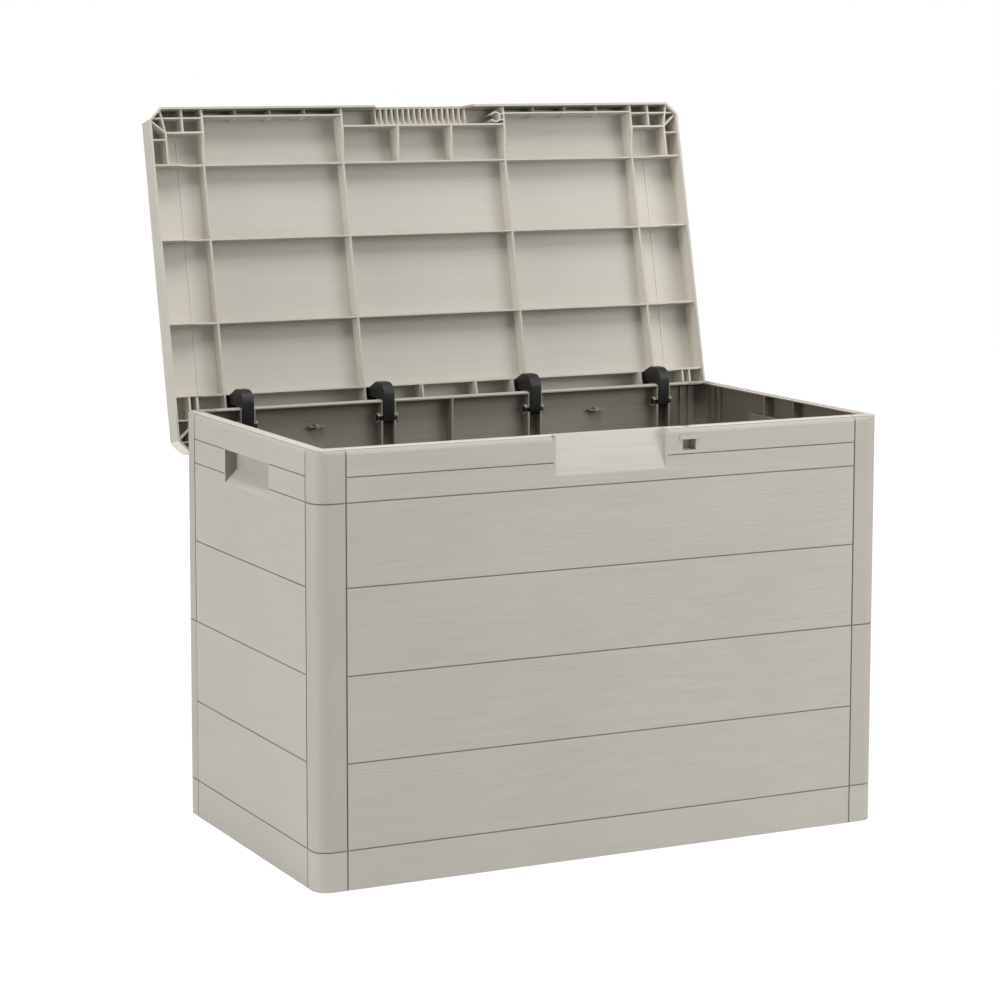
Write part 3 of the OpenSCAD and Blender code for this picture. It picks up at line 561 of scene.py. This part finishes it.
# A geometry node tree with named size inputs, which ends in one plain mesh
class ShapeTree(Graph):

    def __init__(self, name, sizes):
        tree = bpy.data.node_groups.new(name, "GeometryNodeTree")
        super().__init__(tree)
        kinds = {float: "NodeSocketFloat", int: "NodeSocketInt", tuple: "NodeSocketVector"}
        self.sockets = {}
        self.interface("Geometry", "NodeSocketGeometry")
        for key, value in sizes.items():
            self.sockets[key] = self.interface(key, kinds[type(value)])
        self.sockets["Material"] = self.interface("Material", "NodeSocketMaterial")
        self.interface("Geometry", "NodeSocketGeometry", "OUTPUT")
        self.sizes = self.add("NodeGroupInput").outputs

    def interface(self, name, kind, side="INPUT"):
        return self.tree.interface.new_socket(name, in_out=side, socket_type=kind)

    def vector(self, x=0.0, y=0.0, z=0.0):
        return self.add("ShaderNodeCombineXYZ", {0: x, 1: y, 2: z}).outputs[0]

    def shape(self, kind, inputs, **settings):
        return self.add("GeometryNode" + kind, inputs, **settings).outputs[0]

    def moved(self, shape, place=(0, 0, 0), turn=(0, 0, 0)):
        return self.shape("Transform", {"Geometry": shape, "Translation": place, "Rotation": turn})

    # A bar along X with its four long edges rounded
    def bar(self, length, depth, height, radius, place=(0, 0, 0)):
        outline = self.shape("CurvePrimitiveQuadrilateral", {"Width": height, "Height": depth})
        rounded = self.shape("FilletCurve", {"Curve": outline, "Radius": radius, "Count": 3}, mode="POLY")
        end = self.shape("FillCurve", {"Curve": rounded}, mode="NGONS")
        body = self.shape("ExtrudeMesh", {"Mesh": end, "Offset Scale": length, "Individual": False})
        closed = self.joined(body, self.shape("FlipFaces", {"Mesh": end}))
        merged = self.shape("MergeByDistance", {"Geometry": closed, "Distance": 0.001 * mm})
        lying = self.moved(merged, self.vector(self.times(length, -0.5)), (0, math.pi / 2, 0))
        return self.moved(lying, place)

    # The same bar stood on its end
    def uprightBar(self, rise, depth, width, radius):
        return self.moved(self.bar(rise, depth, width, radius), (0, 0, 0), (0, math.pi / 2, 0))

    def row(self, shape, count, start, step):
        places = {"Count": count, "Start Location": start, "Offset": step}
        line = self.shape("MeshLine", places, mode="OFFSET")
        return self.shape("InstanceOnPoints", {"Points": line, "Instance": shape})

    def joined(self, *shapes):
        join = self.tree.nodes.new("GeometryNodeJoinGeometry")
        for shape in shapes:
            self.tree.links.new(shape, join.inputs[0])
        return join.outputs[0]

    def finish(self, shape):
        plain = self.shape("RealizeInstances", {"Geometry": shape})
        dressed = self.shape("SetMaterial", {"Geometry": plain, "Material": self.sizes["Material"]})
        self.add("NodeGroupOutput", {"Geometry": dressed})

    # Runs the tree with these sizes and gives the plain mesh object
    def build(self, name, sizes, material):
        piece = linkMesh(name, bpy.data.meshes.new(name))
        modifier = piece.modifiers.new("shape", "NODES")
        modifier.node_group = self.tree
        for key, value in sizes.items():
            modifier[self.sockets[key].identifier] = value
        modifier[self.sockets["Material"].identifier] = material
        settle(piece)
        return piece


lowerWall = {
    "Plank Count": 2,
    "Skin": 3.0 * mm,
    "Groove": 1.5 * mm,
    "Groove Depth": 1.2 * mm,
    "Edge Radius": 0.55 * mm,
    "Plank Root": 0.6 * mm,   # how deep the planks stand in the backing
    "Seam Rebate": 0.75 * mm,
    "Rib Pitch": 128.0 * mm,
    "Rib Depth": 8.0 * mm,
    "Rib Thickness": 2.5 * mm,
    "Rib Root": 0.4 * mm,
    "Rib Edge": 0.5 * mm,
    "Tongue": 10.0 * mm,      # height of the lap that goes up behind the next wall
    "Tongue Edge": 0.6 * mm,
    "Lap Thickness": 2.5 * mm,
    "Lap Gap": 0.2 * mm,
    "Lap Width": 9.0 * mm,    # reach of the strips past each seam
    "Lap Edge": 0.4 * mm,
    "Hidden Edge": 0.05 * mm, # rounding of the bars that others cover
    "Seam Gap": 0.15 * mm,
    "End Gap": 1.0 * mm,
}
ribMargin = 36 * mm  # from a wall's two ends to its outer ribs, taken together


def plankRow(t):
    n = t.sizes
    pitch = t.math("DIVIDE", n["Height"], n["Plank Count"])
    depth = t.plus(n["Groove Depth"], n["Plank Root"])
    length = t.less(n["Width"], t.times(n["Seam Rebate"], 2))
    middle = t.vector(0.0, t.times(depth, 0.5), 0.0)
    plank = t.bar(length, depth, t.less(pitch, n["Groove"]), n["Edge Radius"], middle)
    return t.row(plank, n["Plank Count"], t.vector(0, 0, t.times(pitch, 0.5)), t.vector(0, 0, pitch))


def wallBacking(t):
    n = t.sizes
    depth = t.less(n["Skin"], n["Groove Depth"])
    middle = t.vector(0.0, t.less(n["Skin"], t.times(depth, 0.5)), t.times(n["Height"], 0.5))
    return t.bar(n["Width"], depth, n["Height"], n["Hidden Edge"], middle)


def topLap(t, lapMiddle):
    n = t.sizes
    top = t.vector(0.0, lapMiddle, n["Height"])
    tongue = t.bar(n["Width"], n["Lap Thickness"], t.times(n["Tongue"], 2), n["Tongue Edge"], top)
    heelPlace = t.vector(0.0, t.less(lapMiddle, n["Lap Gap"]),
                         t.less(n["Height"], t.times(n["Tongue"], 0.5)))
    heel = t.bar(n["Width"], n["Lap Thickness"], n["Tongue"], n["Hidden Edge"], heelPlace)
    return tongue, heel


def ribRow(t, rise, halfWay):
    n = t.sizes
    depth = t.plus(n["Rib Depth"], n["Rib Root"])
    upright = t.uprightBar(rise, depth, n["Rib Thickness"], n["Rib Edge"])
    first = t.times(t.less(n["Rib Count"], 1), t.times(n["Rib Pitch"], -0.5))
    inward = t.less(t.plus(n["Skin"], t.times(depth, 0.5)), n["Rib Root"])
    start = t.vector(t.plus(first, n["Rib Shift"]), inward, halfWay)
    return t.row(upright, n["Rib Count"], start, t.vector(n["Rib Pitch"], 0, 0))


# The strip behind each seam, and the heel that ties it to the skin
def sideStrips(t, rise, halfWay, lapMiddle):
    n = t.sizes
    stripRise = t.less(rise, n["End Gap"])
    strip = t.uprightBar(stripRise, n["Lap Thickness"], t.times(n["Lap Width"], 2), n["Lap Edge"])
    heel = t.uprightBar(stripRise, n["Lap Thickness"], n["Lap Width"], n["Hidden Edge"])
    stripX = t.plus(t.times(n["Width"], 0.5), n["Seam Gap"])
    heelX = t.less(stripX, t.plus(t.times(n["Lap Width"], 0.5), n["Seam Gap"]))
    z = t.less(halfWay, t.times(n["End Gap"], 0.5))
    rows = []
    for bar, x, y in ((strip, stripX, lapMiddle), (heel, heelX, t.less(lapMiddle, n["Lap Gap"]))):
        rows.append(t.row(bar, 2, t.vector(t.times(x, -1), y, z), t.vector(t.times(x, 2), 0, 0)))
    return rows


def wallTree():
    sizes = {"Width": 1.0, "Height": 1.0, "Rib Count": 1, "Rib Shift": 0.0,
             "Place": (0.0, 0.0, 0.0), "Turn": 0.0, **lowerWall}
    t = ShapeTree("plankWall", sizes)
    n = t.sizes
    lapMiddle = t.plus(t.plus(n["Skin"], n["Lap Gap"]), t.times(n["Lap Thickness"], 0.5))
    low = t.plus(n["Tongue"], n["End Gap"])
    high = t.less(n["Height"], n["Tongue"])
    rise = t.less(high, low)
    halfWay = t.times(t.plus(low, high), 0.5)
    wall = t.joined(plankRow(t), wallBacking(t), *topLap(t, lapMiddle), ribRow(t, rise, halfWay),
                    *sideStrips(t, rise, halfWay, lapMiddle))
    t.finish(t.moved(wall, n["Place"], t.vector(0, 0, n["Turn"])))
    return t


def makeLowerWalls():
    tree = wallTree()
    for side, turn, material in (("front", 0, acrossGrain), ("rear", math.pi, acrossGrain),
                                 ("left", -math.pi / 2, sideGrain), ("right", math.pi / 2, sideGrain)):
        node = f"lower_{side}_panel"
        low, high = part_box(node)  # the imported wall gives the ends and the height
        along = 0 if side in ("front", "rear") else 1
        out = 1 - along
        face = high[out] if side in ("rear", "right") else low[out]
        # the strips reach past the seams by their width, so the skin is shorter than the box
        width = high[along] - low[along] - 2 * lowerWall["Lap Width"] - 2 * lowerWall["Seam Gap"]
        middle = (high[along] + low[along]) / 2
        height = high[2] - low[2] - lowerWall["Tongue"]
        place = (middle, face, low[2]) if along == 0 else (face, middle, low[2])
        ribs = 2 * math.floor((width - ribMargin) / 2 / lowerWall["Rib Pitch"]) + 1
        shift = {"left": middle, "right": -middle}.get(side, 0.0)
        sizes = {"Width": width, "Height": height, "Rib Count": ribs, "Rib Shift": shift,
                 "Place": place, "Turn": float(turn), **lowerWall}
        piece = tree.build(f"lower_{side}_planks", sizes, material)
        smoothFaces(piece)
        # painted shade and painted light for each face
        shadeFaces(piece, boxFaceShade)
        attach(piece, "box")
        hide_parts(node)


walls = {
    "edge": 0.5 * mm,
    "grains": {"front": acrossGrain, "rear": acrossGrain, "left": sideGrain, "right": sideGrain},
}


def makeWalls():
    edge = walls["edge"]
    for side, grain in walls["grains"].items():
        mouldedCopy(f"upper_{side}_panel", grain, "box", edge, boxFaceShade)
    for end in ("front", "rear"):
        for side in ("left", "right"):
            for length in ("lower", "upper"):
                node = f"{end}_{side}_post_{length}"
                mouldedCopy(node, postGrain, "box", edge, boxFaceShade)
    mouldedCopy("base_tray", baseGrain, "box", edge, boxFaceShade)


makeLowerWalls()
print("lower walls ready")
makeWalls()
print("upper walls, posts and base ready")


lid = {
    "edge": 0.4 * mm,
    "armEdge": 0.8 * mm,
    "armCount": 4,
    "paintedLipShade": 0.30,     # painted shade on the skirt's edge along the front
    "lipDepth": 4 * mm,
    "paintedRibLight": -0.42,     # painted light on the ribs' sides
    "paintedEndCellLight": -0.12,   # painted light on the narrow cells at both ends
    "outerCellStart": 0.322,
    "bandThickness": 3.2 * mm,
    # painted shade in the grooves of the lid's top
    "paintedGrooveShade": 0.40,
    "grooveDepth": 0.5 * mm,
    "grooveReach": 2 * mm,
    "edgeRadius": 6 * mm,
    "facing": 0.5,
}
lidUpright = Matrix.Rotation(openAngle, 3, "X")


# Painted shade and painted light for each lid face, from where it lies when closed
def lidFaceShade(place, normal):
    closed = lidUpright @ (place - pivot)
    facing = lidUpright @ normal
    sunk = 0 < lid["top"] - closed.z - lid["grooveDepth"] < lid["grooveReach"]
    inward = min(lid["halfWidth"] - abs(closed.x), closed.y - lid["frontEdge"], lid["rearEdge"] - closed.y)
    if sunk and inward > lid["edgeRadius"]:
        return lid["paintedGrooveShade"]
    outerBand = closed.x * facing.x > 0 and abs(closed.x) > lid["halfWidth"] - lid["bandThickness"]
    if facing.z > lid["facing"] or outerBand:
        return 0.0
    down = facing.z < -lid["facing"]
    if closed.y < lid["frontEdge"] + lid["lipDepth"]:
        return lid["paintedLipShade"] if down or facing.y > lid["facing"] else 0.0
    if abs(facing.x) > lid["facing"]:
        return lid["paintedRibLight"]
    return lid["paintedEndCellLight"] if abs(closed.x) > lid["outerCellStart"] and down else 0.0


def makeLid():
    node = frame["nodes"]["lid"]
    spots = [lidUpright @ (v.co - pivot) for v in node.data.vertices]
    lid["halfWidth"] = max(spot.x for spot in spots)
    lid["frontEdge"] = min(spot.y for spot in spots)
    lid["rearEdge"] = max(spot.y for spot in spots)
    lid["top"] = max(spot.z for spot in spots)
    mouldedCopy("lid", lidGrain, "lid", lid["edge"], lidFaceShade)
    for i in range(1, lid["armCount"] + 1):
        mouldedCopy(f"hinge_arm_{i}", armPlastic, "lid", lid["armEdge"])


makeLid()
print("lid and arms ready")
